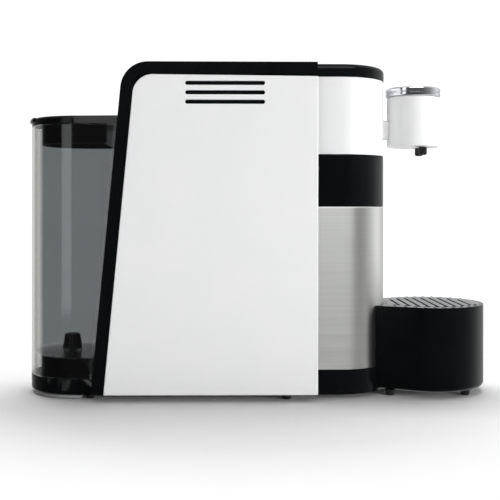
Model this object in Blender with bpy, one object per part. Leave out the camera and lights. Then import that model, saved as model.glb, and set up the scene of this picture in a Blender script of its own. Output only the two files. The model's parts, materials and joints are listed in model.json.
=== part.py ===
"""Pod coffee machine: a flat-sided body with a clear tank behind it and a round-fronted brew column before it.

Millimetres in the constants, metres in the meshes. +X is the cup side, +Z is up, and Z = 0 is the table.
"""

import math

import bmesh
import bpy

MM = 0.001
GAP = 0.3  # air between pieces that touch on the real machine

# Body, seen from the side
TOP_Z = 271.0
REAR_X = -109.95  # outer rear line at height REAR_Z
REAR_Z = 236.0
REAR_SLOPE = 0.0953  # the rear line leans forward by this much per unit of height
CORNER_R = 22.0
BODY_FRONT = 48.7
BODY_BOTTOM = 5.5
SHELL_HALF = 53.0
SHELL_WALL = 3.0
SHELL_CEILING = 257.8
ROOM_HALF = 48.0
POCKET_FLOOR = 50.7  # the side panel lies in a pocket this far from the middle
BAND = 10.2  # black border round the side panel
PANEL_HALF = 54.0
PANEL_T = 3.0
PANEL_FRONT = 49.0
PANEL_DIP = 1.3
VENT_X = (-57.0, 6.6)
VENT_Z = (253.8, 246.3, 238.8)
VENT_H = 3.4

# Base frame and feet
BASE_X = (-127.8, 45.4)
BASE_HALF = 47.5
BASE_Z = (4.0, 12.0)
BASE_TONGUE_X = -146.0
CORD_R = 5.0
CORD_PLACE = (-96.0, 26.0, 0.0)
BODY_FEET = (
    ("foot_front_left", 24.5, -41, 3.7),
    ("foot_front_right", 24.5, 41, 3.7),
    ("foot_rear_left", -134.7, -36, 3.2),
    ("foot_rear_right", -134.7, 36, 3.2),
)
TRAY_FEET = (
    ("tray_foot_rear_left", 111, -27, 4.7),
    ("tray_foot_rear_right", 111, 27, 4.7),
    ("tray_foot_front_left", 173, -27, 4.7),
    ("tray_foot_front_right", 173, 27, 4.7),
)

# Brew column
COLUMN_BACK = 49.1
COLUMN_X = 69.2  # centre of its round front
COLUMN_R = 40.0
HEAD_Z = (198.2, 261.0)
BAND_Z = (155.4, 197.9)
SLEEVE_Z = (23.0, 155.0)
HEAD_WALL = 3.0
SLOT_X = (64.5, 91.5)
SLOT_HALF = 18.0

# Lever and its gears
HINGE = (-38.0, 266.15)
HUB_R = 4.85
LEVER_Z = (261.3, 271.9)
LEVER_R = 40.3
PIN_R = 2.0
MODULE = 1.5
SECTOR_TEETH = 24
PINION_TEETH = 10
TOOTH_ROOT = 1.5  # from the pitch line down to the root, and up to the tip
TOOTH_TIP = 1.05
ROOT_HALF = 0.31  # half a tooth's width at its root and its tip, in pitches
TIP_HALF = 0.11
RACK_END = 56.0
MESH_ANGLE = -38.0  # direction from the hinge to the pinion, in degrees
GEAR_HALF = 4.0
BREW_Z = 221.0
PISTON_R = 15.0
PISTON_X = (50.0, 62.0)

# Spout
SPOUT_X = 135.0
SPOUT_R = 22.0
SPOUT_Z = (206.5, 248.5)
RING_R = 23.2
RING_Z = (248.8, 256.3)
NECK_HALF = 6.5
NECK_Z = (213.0, 229.0)
NOZZLE_X = 142.0
NOZZLE_Y = 8.0
NOZZLE_R = 3.5
NOZZLE_Z = (199.5, 206.2)
BUTTON_R = 4.2
BUTTON_RING = 10.5
BUTTON_Z = (250.6, 256.2)

# Drip tray
TRAY_X = 149.0
TRAY_R = 45.4
TRAY_Z = (5.0, 73.6)
TRAY_WALL = 2.5
CHEEK_X = 99.5  # where the tray's side walls meet the column
TONGUE_Z = (3.2, 22.7)
BOWL_Z = (42.0, 71.7)
GRATE_Z = (72.0, 74.6)
GRATE_PITCH = 7.4
GRATE_SLOT = 2.4
GRATE_BORDER = 4.5

# Tank
TANK_X = -146.5
TANK_R = 43.2
TANK_WALL = 2.2
TANK_GAP = 2.0  # between the body and the tank's front
TANK_Z = (16.3, 222.2)
TANK_FLOOR = (33.0, 35.0)
DOCK_Z = (3.5, 16.0)
DOCK_FRONT = -132.6
DOCK_PLATE_Z = (0.6, 3.2)
PEDESTAL_TOP = 32.6
PEDESTAL_INSET = 8.3
VALVE_X = -156.0
LID_Z = (222.6, 229.0)
LID_FRONT = -112.4
LID_HINGE = (-113.0, 228.0)
SKIRT_INSET = 8.5
SKIRT_BOTTOM = 207.0
LIP_X = -191.2
LIP_BOTTOM = 225.6

CENTRE_X = 1.6  # the middle of the overall length, which becomes X = 0

BLACK = (0.012, 0.013, 0.015)


def material(name, colour, roughness, metallic=0.0, alpha=1.0):
    found = bpy.data.materials.get(name)
    if found:
        return found
    made = bpy.data.materials.new(name)
    made.use_nodes = True
    shader = made.node_tree.nodes["Principled BSDF"]
    shader.inputs["Base Color"].default_value = (*colour, 1.0)
    shader.inputs["Roughness"].default_value = roughness
    shader.inputs["Metallic"].default_value = metallic
    shader.inputs["Alpha"].default_value = alpha
    return made


def finish(name, bm, look):
    """Turns a bmesh in millimetres into an object in metres."""
    bmesh.ops.scale(bm, vec=(MM, MM, MM), verts=bm.verts)
    bmesh.ops.recalc_face_normals(bm, faces=bm.faces)
    mesh = bpy.data.meshes.new(name)
    bm.to_mesh(mesh)
    bm.free()
    piece = bpy.data.objects.new(name, mesh)
    bpy.context.scene.collection.objects.link(piece)
    if look:
        mesh.materials.append(look)
    return piece


def prism(name, outline, axis, low, high, look=None):
    """An outline extruded along an axis: XZ outlines along Y, XY outlines along Z, YZ outlines along X."""
    place = {
        "x": lambda a, b, c: (c, a, b),
        "y": lambda a, b, c: (a, c, b),
        "z": lambda a, b, c: (a, b, c),
    }[axis]
    bm = bmesh.new()
    face = bm.faces.new([bm.verts.new(place(a, b, low)) for a, b in outline])
    rise = bmesh.ops.extrude_face_region(bm, geom=[face])
    moved = [item for item in rise["geom"] if isinstance(item, bmesh.types.BMVert)]
    step = place(0.0, 0.0, high - low)
    bmesh.ops.translate(bm, vec=step, verts=moved)
    return finish(name, bm, look)


def block(name, x, y, z, look=None):
    outline = [(x[0], y[0]), (x[1], y[0]), (x[1], y[1]), (x[0], y[1])]
    return prism(name, outline, "z", z[0], z[1], look)


def turned(name, profile, centre, steps, look=None, axis="z"):
    """A closed (radius, height) profile spun round an axis; a profile may start and end on the axis."""
    bm = bmesh.new()
    verts = [bm.verts.new((radius, 0.0, height)) for radius, height in profile]
    edges = [bm.edges.new((a, b)) for a, b in zip(verts, verts[1:])]
    if profile[0][0] > 0.0 or profile[-1][0] > 0.0:
        edges.append(bm.edges.new((verts[-1], verts[0])))
    bmesh.ops.spin(
        bm, geom=verts + edges, cent=(0, 0, 0), axis=(0, 0, 1), angle=math.tau, steps=steps, use_merge=True
    )
    bmesh.ops.remove_doubles(bm, verts=bm.verts, dist=0.001)
    for vert in bm.verts:
        x, y, z = vert.co
        if axis == "x":
            vert.co = (z, x, y)
        elif axis == "y":
            vert.co = (y, z, x)
    bmesh.ops.translate(bm, vec=centre, verts=bm.verts)
    piece = finish(name, bm, look)
    piece.data.shade_smooth()
    piece.data.set_sharp_from_angle(angle=math.radians(35))
    return piece


def rod(name, radius, low, high, centre, look=None, axis="z", steps=24):
    """A plain round bar from low to high along an axis, through centre."""
    profile = [(0.0, low), (radius, low), (radius, high), (0.0, high)]
    return turned(name, profile, centre, steps, look, axis)


def tube(name, outer, inner, low, high, centre, look=None, axis="z", steps=24):
    profile = [(inner, low), (outer, low), (outer, high), (inner, high)]
    return turned(name, profile, centre, steps, look, axis)


def combine(target, operation, tools):
    """Applies an exact Boolean with each tool and removes the tool."""
    for tool in tools:
        modifier = target.modifiers.new(operation.title(), "BOOLEAN")
        modifier.operation = operation
        modifier.solver = "EXACT"
        modifier.object = tool
        depsgraph = bpy.context.evaluated_depsgraph_get()
        mesh = bpy.data.meshes.new_from_object(target.evaluated_get(depsgraph))
        target.modifiers.clear()
        target.data = mesh
        bpy.data.objects.remove(tool)
    return target


def cut(target, *tools):
    return combine(target, "DIFFERENCE", tools)


def join(target, *tools):
    return combine(target, "UNION", tools)


def arc(centre, radius, start, end, steps):
    """Points from angle start to angle end, in degrees."""
    angles = [math.radians(start + (end - start) * i / steps) for i in range(steps + 1)]
    return [(centre[0] + radius * math.cos(a), centre[1] + radius * math.sin(a)) for a in angles]


def rounded(corners, steps=5):
    """An outline from (x, y, radius) corners, with each corner turned into an arc."""
    points = []
    for i, (x, y, radius) in enumerate(corners):
        if radius <= 0:
            points.append((x, y))
            continue
        ax, ay, _ = corners[i - 1]
        bx, by, _ = corners[(i + 1) % len(corners)]
        a = math.atan2(ay - y, ax - x)
        b = math.atan2(by - y, bx - x)
        half = ((b - a + math.pi) % math.tau - math.pi) / 2
        reach = radius / math.sin(abs(half))
        centre = (x + reach * math.cos(a + half), y + reach * math.sin(a + half))
        turn = math.copysign(math.pi / 2 - abs(half), half)
        first = a + half + math.pi + turn
        points += arc(centre, radius, math.degrees(first), math.degrees(first - 2 * turn), steps)
    return points


def rear_x(z, inset=0.0):
    """The body's outer rear line at height z, moved forward by inset."""
    return REAR_X + (z - REAR_Z) * REAR_SLOPE + inset


def body_outline(inset, front, bottom, corner, dip=0.0):
    """The side profile; dip lowers the front end of its top edge."""
    top = TOP_Z - inset
    return rounded(
        [
            (rear_x(bottom, inset), bottom, 0),
            (front, bottom, 0),
            (front, top - dip, 0),
            (rear_x(top, inset), top, corner),
        ],
        8,
    )


def column_plan(inset=0.0, back=COLUMN_BACK, steps=24):
    """Straight sides and a half-round front."""
    radius = COLUMN_R - inset
    return [(back, -radius), *arc((COLUMN_X, 0), radius, -90, 90, steps), (back, radius)]


def tank_plan(inset=0.0, front=-100.0, steps=24):
    """Straight sides and a half-round rear."""
    radius = TANK_R - inset
    return [(front, radius), *arc((TANK_X, 0), radius, 90, 270, steps), (front, -radius)]


def crescent(radius, notch, steps=36):
    """The tray's round plan with the column's front taken out of its rear."""
    distance = TRAY_X - COLUMN_X
    reach = (distance**2 + radius**2 - notch**2) / (2 * distance)
    tray_angle = math.degrees(math.acos(reach / radius))
    column_angle = math.degrees(math.acos((distance - reach) / notch))
    outer = arc((TRAY_X, 0), radius, -180 + tray_angle, 180 - tray_angle, steps)
    inner = arc((COLUMN_X, 0), notch, column_angle, -column_angle, steps // 3)
    return outer + inner[1:-1]


def tray_plan(inset=0.0, steps=32):
    """The round tray with straight cheeks that run back to the column."""
    radius = TRAY_R - inset
    notch = COLUMN_R + 0.4 + inset
    cheek_x = CHEEK_X + inset
    cheek_y = math.sqrt(notch**2 - (cheek_x - COLUMN_X) ** 2)
    reach = math.hypot(TRAY_X - cheek_x, cheek_y)
    toward = 180 - math.degrees(math.atan2(cheek_y, TRAY_X - cheek_x))
    tangent = toward - math.degrees(math.acos(radius / reach))
    column_angle = math.degrees(math.atan2(cheek_y, cheek_x - COLUMN_X))
    outer = arc((TRAY_X, 0), radius, -tangent, tangent, steps)
    return outer + arc((COLUMN_X, 0), notch, column_angle, -column_angle, steps // 3)


def gear_outline(centre, teeth, first, count):
    """Straight-flanked teeth with backlash; first is the angle of the first tooth's middle, in degrees."""
    pitch_r = MODULE * teeth / 2
    step = 360 / teeth
    root = (pitch_r - TOOTH_ROOT, ROOT_HALF)
    tip = (pitch_r + TOOTH_TIP, TIP_HALF)
    points = []
    for i in range(count):
        middle = first + i * step
        for radius, width in (root, tip):
            points.append((radius, middle - width * step))
        for radius, width in (tip, root):
            points.append((radius, middle + width * step))
    return [
        (centre[0] + r * math.cos(math.radians(a)), centre[1] + r * math.sin(math.radians(a)))
        for r, a in points
    ]


def pinion_centre():
    distance = MODULE * (SECTOR_TEETH + PINION_TEETH) / 2 + 0.1
    angle = math.radians(MESH_ANGLE)
    return (HINGE[0] + distance * math.cos(angle), HINGE[1] + distance * math.sin(angle))


def hose(name, points, radius, look):
    """A round hose along a smooth line through its points."""
    curve = bpy.data.curves.new(name, "CURVE")
    curve.dimensions = "3D"
    curve.bevel_depth = radius * MM
    curve.bevel_resolution = 2
    curve.use_fill_caps = True
    line = smooth_line(points, 6)
    spline = curve.splines.new("POLY")
    spline.points.add(len(line) - 1)
    for point, place in zip(spline.points, line):
        point.co = (place[0] * MM, place[1] * MM, place[2] * MM, 1.0)
    curve.materials.append(look)
    piece = bpy.data.objects.new(name, curve)
    bpy.context.scene.collection.objects.link(piece)
    return piece


def smooth_line(points, steps):
    """A Catmull-Rom line through the points."""
    padded = [points[0], *points, points[-1]]
    line = []
    for a, b, c, d in zip(padded, padded[1:], padded[2:], padded[3:]):
        for i in range(steps):
            t = i / steps
            line.append(
                tuple(
                    0.5 * (2 * q + (r - p) * t + (2 * p - 5 * q + 4 * r - s) * t**2 + (3 * q - p - 3 * r + s) * t**3)
                    for p, q, r, s in zip(a, b, c, d)
                )
            )
    return [*line, points[-1]]


def body(looks):
    shell = prism(
        "body_shell", body_outline(0, BODY_FRONT, BODY_BOTTOM, CORNER_R), "y", -SHELL_HALF, SHELL_HALF, looks["black"]
    )
    inside = rounded(
        [
            (rear_x(-10, SHELL_WALL), -10, 0),
            (90, -10, 0),
            (90, SHELL_CEILING, 0),
            (rear_x(SHELL_CEILING, SHELL_WALL), SHELL_CEILING, 14),
        ]
    )
    cavity = prism("cavity", inside, "y", -ROOM_HALF, ROOM_HALF)
    recess = body_outline(BAND - 0.4, 90, -10, CORNER_R - BAND)
    pockets = [prism("pocket", recess, "y", side * POCKET_FLOOR, side * 60) for side in (-1, 1)]
    swing = LEVER_Z[1] - HINGE[1] + 0.5
    lever_bed = block("lever_bed", (HINGE[0] - swing, 90), (-40.8, 40.8), (260.8, 290))
    gear_slot = block("gear_slot", (-52, -6), (-5, 5), (250, 262))
    pin_bore = rod("pin_bore", PIN_R + 0.3, -46.5, 46.5, (HINGE[0], 0, HINGE[1]), axis="y")
    hose_way = block("hose_way", (-145, -120), (-6, 6), (16, 30))
    tongue_way = block("tongue_way", (-145, -120), (-30.6, 30.6), (0, 7.4))
    cut(shell, cavity, *pockets, lever_bed, gear_slot, pin_bore, hose_way, tongue_way)

    for name, side in (("side_panel_left", -1), ("side_panel_right", 1)):
        low, high = sorted((side * (PANEL_HALF - PANEL_T), side * PANEL_HALF))
        outline = body_outline(BAND, PANEL_FRONT, BODY_BOTTOM, 16, PANEL_DIP)
        panel = prism(name, outline, "y", low, high, looks["white"])
        for z in VENT_Z:
            r = VENT_H / 2
            x0, x1 = VENT_X
            slot = arc((x1 - r, z), r, -90, 90, 6) + arc((x0 + r, z), r, 90, 270, 6)
            cut(panel, prism("vent", slot, "y", low - 2, high + 2))

    side = ROOM_HALF - 0.4
    height = (BASE_Z[1] + 0.5, SHELL_CEILING - 0.4)
    bulkhead = block("front_bulkhead", (45.7, BODY_FRONT), (-side, side), height, looks["black"])
    cut(bulkhead, block("window", (40, 55), (-24, 24), (203, 256.5)))


def base(looks):
    rear, front = BASE_X
    half = BASE_HALF
    plan = rounded([(rear, -half, 4), (front, -half, 4), (front, half, 4), (rear, half, 4)], 3)
    frame = prism("base_frame", plan, "z", *BASE_Z, looks["black"])
    rear, front = rear + 1.8, front - 2.4
    half = half - 2.5
    tray = rounded([(rear, -half, 3), (front, -half, 3), (front, half, 3), (rear, half, 3)], 3)
    cut(frame, prism("tray", tray, "z", BASE_Z[0] + 2.5, 20))
    join(frame, block("tongue", (BASE_TONGUE_X, rear + 1), (-30, 30), (BASE_Z[0], BASE_Z[0] + 2.5)))
    cut(frame, rod("cord_way", CORD_R + GAP, 0, 10, CORD_PLACE))
    tube("cord_inlet", CORD_R, 3.2, 2.2, 9, CORD_PLACE, looks["rubber"])
    feet(BODY_FEET, looks["rubber"])


def feet(places, look):
    made = []
    for name, x, y, top in places:
        profile = [(0, 0), (3.6, 0), (4.2, top), (0, top)]
        made.append(turned(name, profile, (x, y, 0), 20, look))
    return made


def column(looks):
    head = prism("head_shell", column_plan(), "z", *HEAD_Z, looks["white"])
    inner = (HEAD_Z[0] + HEAD_WALL, HEAD_Z[1] - HEAD_WALL)
    cut(head, prism("room", column_plan(HEAD_WALL, back=30), "z", *inner))
    cut(head, block("slot", SLOT_X, (-SLOT_HALF, SLOT_HALF), (250, 270)))
    cut(head, block("drop", (60.5, 94.5), (-19.5, 19.5), (190, 202)))
    cut(head, block("neck_way", (95, 120), (-NECK_HALF - 0.5, NECK_HALF + 0.5), (NECK_Z[0] - 0.5, NECK_Z[1] + 0.5)))

    band = prism("head_band", column_plan(), "z", *BAND_Z, looks["black"])
    cut(band, prism("shaft", column_plan(5, back=COLUMN_BACK + 5), "z", 100, 220))


def brewer(looks):
    frame = block("brew_frame", (-28, 98), (-22.6, 22.6), (206, 254.5), looks["grey"])
    cut(frame, block("channel", (-25.5, 95.5), (-20, 20), (200, 260)))
    cut(frame, block("rear_gap", (-40, 0), (-20, 20), (234, 260)))
    cut(frame, block("front_gap", (90, 110), (-20, 20), (246, 260)))
    cut(frame, rod("outlet", 6, 90, 105, (0, 0, BREW_Z), axis="x"))
    px, pz = pinion_centre()
    cut(frame, rod("axle_bore", PIN_R, -30, 30, (px, 0, pz), axis="y"))
    rod("pinion_axle", PIN_R - GAP, -22.4, 22.4, (px, 0, pz), looks["steel"], axis="y")

    tube("extraction_plate", 17, 2, 92.5, 95.2, (0, 0, BREW_Z), looks["steel"], axis="x", steps=32)

    guide = block("capsule_guide", (62.6, 93.4), (-19.7, 19.7), (245, 257.7), looks["black"])
    cut(guide, block("throat", SLOT_X, (-SLOT_HALF, SLOT_HALF), (240, 260)))

    neck = block("spout_neck", (98.3, 140), (-NECK_HALF, NECK_HALF), NECK_Z, looks["white"])
    cut(neck, rod("channel", 3, 90, 150, (0, 0, BREW_Z), axis="x", steps=16))


def gears(looks):
    """The lever's toothed sector drives a pinion, and the pinion pulls the rack back."""
    step = 360 / SECTOR_TEETH
    count = 7
    first = MESH_ANGLE - (count - 2) * step
    teeth = gear_outline(HINGE, SECTOR_TEETH, first, count)
    under_cover = (HINGE[0] + 5.5, LEVER_Z[0] - 0.6)
    sector = prism("lever_sector", [HINGE, *teeth, under_cover], "y", -GEAR_HALF, GEAR_HALF, looks["grey"])
    join(sector, rod("boss", 3.8, -GEAR_HALF, GEAR_HALF, (HINGE[0], 0, HINGE[1]), axis="y"))
    cut(sector, rod("bore", PIN_R + 0.3, -9, 9, (HINGE[0], 0, HINGE[1]), axis="y"))
    rod("lever_pin", PIN_R, -46, 46, (HINGE[0], 0, HINGE[1]), looks["steel"], axis="y")

    px, pz = pinion_centre()
    pinion_step = 360 / PINION_TEETH
    phase = MESH_ANGLE + 180 + pinion_step / 2
    outline = gear_outline((px, pz), PINION_TEETH, phase, PINION_TEETH)
    pinion = prism("idler_pinion", outline, "y", -GEAR_HALF, GEAR_HALF, looks["grey"])
    cut(pinion, rod("bore", PIN_R + 0.1, -9, 9, (px, 0, pz), axis="y"))

    pitch = math.pi * MODULE
    pitch_r = MODULE * PINION_TEETH / 2
    offset = (phase + 90) % pinion_step
    line_z = pz - pitch_r - 0.1
    space = px + math.radians(offset) * pitch_r
    top = []
    for i in range(-2, 8):
        x = space + (i + 0.5) * pitch
        for dx, dz in (
            (-ROOT_HALF, -TOOTH_ROOT),
            (-TIP_HALF, TOOTH_TIP),
            (TIP_HALF, TOOTH_TIP),
            (ROOT_HALF, -TOOTH_ROOT),
        ):
            top.append((x + dx * pitch, line_z + dz))
    start = top[0][0] - 2
    floor = line_z - 6
    root_z = line_z - TOOTH_ROOT
    bar = [(start, floor), (RACK_END, floor), (RACK_END, root_z), *reversed(top), (start, root_z)]
    prism("brew_rack", bar, "y", -GEAR_HALF, GEAR_HALF, looks["grey"])

    piston = rod("brew_piston", PISTON_R, *PISTON_X, (0, 0, BREW_Z), looks["black"], axis="x", steps=32)
    join(piston, rod("stem", 7, 30, 51, (0, 0, BREW_Z), axis="x"))
    cut(piston, block("rack_bed", (20, 56.5), (-4.4, 4.4), (floor - 0.3, 260)))
    cut(piston, tube("groove", 16, 13.2, 56, 59.6, (0, 0, BREW_Z), axis="x", steps=32))
    tube("piston_seal", 15.4, 13.5, 56.3, 59.3, (0, 0, BREW_Z), looks["rubber"], axis="x", steps=32)


def lever(looks):
    plan = [(HINGE[0], -LEVER_R), *arc((COLUMN_X, 0), LEVER_R, -90, 90, 24), (HINGE[0], LEVER_R)]
    cover = prism("lever_cover", plan, "z", *LEVER_Z, looks["black"])
    join(cover, rod("hub", HUB_R, -LEVER_R, LEVER_R, (HINGE[0], 0, HINGE[1]), axis="y", steps=32))
    cut(cover, block("boss_way", (HINGE[0] - 6, HINGE[0] + 6), (-4.4, 4.4), (250, 270.1)))
    cut(cover, rod("bore", PIN_R + 0.3, -60, 60, (HINGE[0], 0, HINGE[1]), axis="y"))
    soften_top(cover, LEVER_Z[1], 3.5)
    return cover


def soften_top(piece, height, radius):
    """Rounds the outer edge of the top face that lies at a height."""
    bm = bmesh.new()
    bm.from_mesh(piece.data)
    tol = 0.05 * MM
    level = height * MM
    rim = [
        edge
        for edge in bm.edges
        if all(abs(vert.co.z - level) < tol for vert in edge.verts)
        and any(abs(face.normal.z) < 0.5 for face in edge.link_faces)
        and min(vert.co.x for vert in edge.verts) > 49 * MM
    ]
    bmesh.ops.bevel(bm, geom=rim, offset=radius * MM, segments=3, profile=0.5, affect="EDGES")
    bm.to_mesh(piece.data)
    bm.free()


def spout(looks):
    z0, z1 = SPOUT_Z
    shell = tube("spout_shell", SPOUT_R, SPOUT_R - 2.2, z0, z1, (SPOUT_X, 0, 0), looks["white"], steps=48)
    way = block("way", (105, 125), (-NECK_HALF - 0.4, NECK_HALF + 0.4), (NECK_Z[0] - 0.4, NECK_Z[1] + 0.4))
    cut(shell, way)
    rod("spout_base", 19.5, z0 + 0.3, z0 + 2.8, (SPOUT_X, 0, 0), looks["white"], steps=40)
    for name, side in (("spout_nozzle_left", -1), ("spout_nozzle_right", 1)):
        place = (NOZZLE_X, side * NOZZLE_Y, 0)
        tube(name, NOZZLE_R, 2.2, *NOZZLE_Z, place, looks["black"], steps=20)

    low, high = RING_Z
    middle = (low + high) / 2
    profile = [
        (19.1, low),
        (RING_R - 0.8, low),
        (RING_R, low + 0.8),
        (RING_R, middle - 0.6),
        (RING_R - 0.7, middle),
        (RING_R, middle + 0.6),
        (RING_R, high - 1.2),
        (RING_R - 1.2, high),
        (19.1, high),
    ]
    turned("spout_ring", profile, (SPOUT_X, 0, 0), 48, looks["chrome"])

    disc = rod("control_disc", 18.8, low + 0.2, high - 1.4, (SPOUT_X, 0, 0), looks["black"], steps=40)
    for name, degrees in (("power_button", 0), ("espresso_button", 120), ("lungo_button", 240)):
        angle = math.radians(degrees)
        place = (SPOUT_X + BUTTON_RING * math.cos(angle), BUTTON_RING * math.sin(angle), 0)
        cut(disc, rod("way", BUTTON_R + GAP, 240, 260, place))
        button = rod(name, BUTTON_R, *BUTTON_Z, place, looks["grey"])
        hang(button, f"{name}_guide", (place[0], place[1], BUTTON_Z[0]))


def tray(looks):
    housing = prism("tray_housing", tray_plan(), "z", *TRAY_Z, looks["black"])
    join(housing, prism("tongue", column_plan(-0.9, back=COLUMN_BACK + 0.3), "z", *TONGUE_Z))
    cut(housing, prism("room", crescent(TRAY_R - TRAY_WALL, COLUMN_R + TRAY_WALL + 0.4), "z", TRAY_Z[0] + 3, 90))

    sleeve = prism("bin_sleeve", column_plan(back=COLUMN_BACK + 0.3), "z", *SLEEVE_Z, looks["silver"])
    cut(sleeve, prism("room", column_plan(1.5, back=COLUMN_BACK + 1.8), "z", 0, 200))

    low, high = SLEEVE_Z
    pod_bin = prism("capsule_bin", column_plan(2, back=COLUMN_BACK + 2.3), "z", low + 0.2, high - 8, looks["black"])
    cut(pod_bin, prism("room", column_plan(3.8, back=COLUMN_BACK + 4.1), "z", low + 2.2, 200))

    low, high = BOWL_Z
    bowl = prism("drip_bowl", crescent(TRAY_R - 3.2, COLUMN_R + 3.6), "z", low, high, looks["black"])
    cut(bowl, prism("room", crescent(TRAY_R - 5.0, COLUMN_R + 5.4), "z", low + 1.8, 90))

    rim = TRAY_R - TRAY_WALL - 0.4
    grate = prism("cup_grate", crescent(rim, COLUMN_R + TRAY_WALL + 0.8, 48), "z", *GRATE_Z, looks["steel"])
    for i in range(-4, 5):
        offset = GRATE_PITCH * i
        x = (TRAY_X + offset - GRATE_SLOT / 2, TRAY_X + offset + GRATE_SLOT / 2)
        reach = math.sqrt((rim - GRATE_BORDER) ** 2 - offset**2)
        cut(grate, block("slot", x, (-reach, reach), (60, 90)))

    return [housing, sleeve, pod_bin, bowl, *feet(TRAY_FEET, looks["rubber"])], grate


def front_plane(offset):
    """Everything before the tank's leaning front, moved by offset."""
    low, high = 0, 240
    shift = -TANK_GAP - offset
    outline = [(rear_x(low, shift), low), (0, low), (0, high), (rear_x(high, shift), high)]
    return prism("front_plane", outline, "y", -80, 80)


def tank(looks):
    walls = cut(prism("water_tank", tank_plan(), "z", *TANK_Z, looks["clear"]), front_plane(0))
    inset = TANK_WALL
    water = cut(prism("water", tank_plan(inset), "z", TANK_FLOOR[1], 240), front_plane(inset))
    seat = cut(prism("seat", tank_plan(inset), "z", 5, TANK_FLOOR[0]), front_plane(inset))
    cut(walls, water, seat, rod("outlet", 4.2, 20, 50, (VALVE_X, 0, 0)))

    low = TANK_FLOOR[1] + GAP
    profile = [(0, low + 12), (6.4, low + 12), (8.2, low), (6.6, low), (5.9, low + 10.4), (0, low + 10.4)]
    cage = turned("tank_filter", profile, (VALVE_X, 0, 0), 24, looks["black"])
    cut(cage, block("port", (VALVE_X - 20, VALVE_X + 20), (-2, 2), (low + 1.5, low + 8)))

    stem = rod("tank_valve", 1.6, 31.3, 44, (VALVE_X, 0, 0), looks["black"], steps=16)
    join(stem, rod("disc", 5.2, 38.3, 39.5, (VALVE_X, 0, 0)))
    coil(looks)

    plate = prism("tank_lid", tank_plan(0.2, LID_FRONT), "z", *LID_Z, looks["black"])
    skirt_front = rear_x(SKIRT_BOTTOM, -TANK_GAP - TANK_WALL - 5)
    join(plate, prism("skirt", tank_plan(SKIRT_INSET, skirt_front), "z", SKIRT_BOTTOM, LID_Z[0] + 1))
    under = tank_plan(SKIRT_INSET + 2, skirt_front - 2)
    cut(plate, prism("under", under, "z", 200, LID_Z[1] - 2.5))
    outer = arc((TANK_X, 0), TANK_X - LIP_X, 150, 210, 8)
    inner = arc((TANK_X, 0), TANK_R - 2, 210, 150, 8)
    join(plate, prism("lip", outer + inner, "z", LIP_BOTTOM, LID_Z[1]))
    return walls, cage, stem, plate


def coil(looks):
    """The valve's return spring, standing on the valve disc."""
    turns, radius, low, high = 3, 3.4, 40.2, 44.9
    count = turns * 14
    curve = bpy.data.curves.new("valve_spring", "CURVE")
    curve.dimensions = "3D"
    curve.bevel_depth = 0.35 * MM
    curve.bevel_resolution = 1
    curve.use_fill_caps = True
    spline = curve.splines.new("POLY")
    spline.points.add(count)
    for i, point in enumerate(spline.points):
        t = i / count
        angle = math.tau * turns * t
        x = VALVE_X + radius * math.cos(angle)
        y = radius * math.sin(angle)
        point.co = (x * MM, y * MM, (low + (high - low) * t) * MM, 1.0)
    curve.materials.append(looks["steel"])
    piece = bpy.data.objects.new("valve_spring", curve)
    bpy.context.scene.collection.objects.link(piece)


def dock(looks):
    cup = prism("tank_dock", tank_plan(0, DOCK_FRONT), "z", *DOCK_Z, looks["black"])
    pedestal = tank_plan(PEDESTAL_INSET, DOCK_FRONT - TANK_WALL - 1.0)
    join(cup, prism("pedestal", pedestal, "z", DOCK_Z[1] - 1, PEDESTAL_TOP))
    cut(cup, prism("under", tank_plan(PEDESTAL_INSET + 2.6, DOCK_FRONT - 5.8), "z", 0, PEDESTAL_TOP - 5))
    cut(cup, tube("socket", 7.4, 1.5, 29, 40, (VALVE_X, 0, 0)))
    cut(cup, rod("over_pin", 2.5, 31, 40, (VALVE_X, 0, 0), steps=16))
    cut(cup, block("front_way", (-145, -120), (-6, 6), (16.5, 27)))
    cut(cup, block("tongue_way", (-147, -120), (-30.4, 30.4), (0, 6.9)))
    tube("dock_seal", 7.0, 4.4, 29.3, 32.7, (VALVE_X, 0, 0), looks["rubber"], steps=24)
    foot_plan = tank_plan(2.0, -141.5)
    prism("dock_plate", foot_plan, "z", *DOCK_PLATE_Z, looks["grey"])


def inner_works(looks):
    pump = block("water_pump", (-96, -62), (-17, 17), (26, 62), looks["steel"])
    join(pump, rod("barrel", 9, -112, -40, (0, 0, 44), axis="x"))
    tube("pump_mount_rear", 13, 9.4, -108, -100, (0, 0, 44), looks["rubber"], axis="x")
    tube("pump_mount_front", 13, 9.4, -56, -48, (0, 0, 44), looks["rubber"], axis="x")

    block_outline = rounded([(-84, 110, 6), (-20, 110, 6), (-20, 168, 6), (-84, 168, 6)], 4)
    heater = prism("thermoblock", block_outline, "y", 6, 40, looks["steel"])
    join(heater, rod("port", 4, 100, 178, (-36, 23, 0), steps=16))

    meter = rod("flow_meter", 11, 14.5, 23, (-108, 24, 0), looks["grey"])
    join(meter, rod("port", 4, 20, 29, (-108, 24, 0), steps=16))

    board = block("control_board", (-86, 16), (-45.5, -43.9), (96, 190), looks["board"])
    for x, z, w, h in ((-60, 120, 24, 18), (-20, 160, 30, 20), (-64, 168, 14, 14)):
        join(board, block("chip", (x - w / 2, x + w / 2), (-44.2, -32), (z - h / 2, z + h / 2)))

    hose("hose_dock_to_meter", [(-124, 0, 22), (-119, 3, 24), (-112, 14, 32), (-108, 24, 32)], 2.5, looks["rubber"])
    hose("hose_pump_to_heater", [(-37, 0, 44), (-28, 4, 52), (-30, 20, 76), (-36, 23, 97)], 2.5, looks["rubber"])
    hose("hose_heater_to_head", [(-36, 23, 181), (-34, 28, 196), (0, 32, 200), (36, 30, 200)], 2.5, looks["rubber"])


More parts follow.
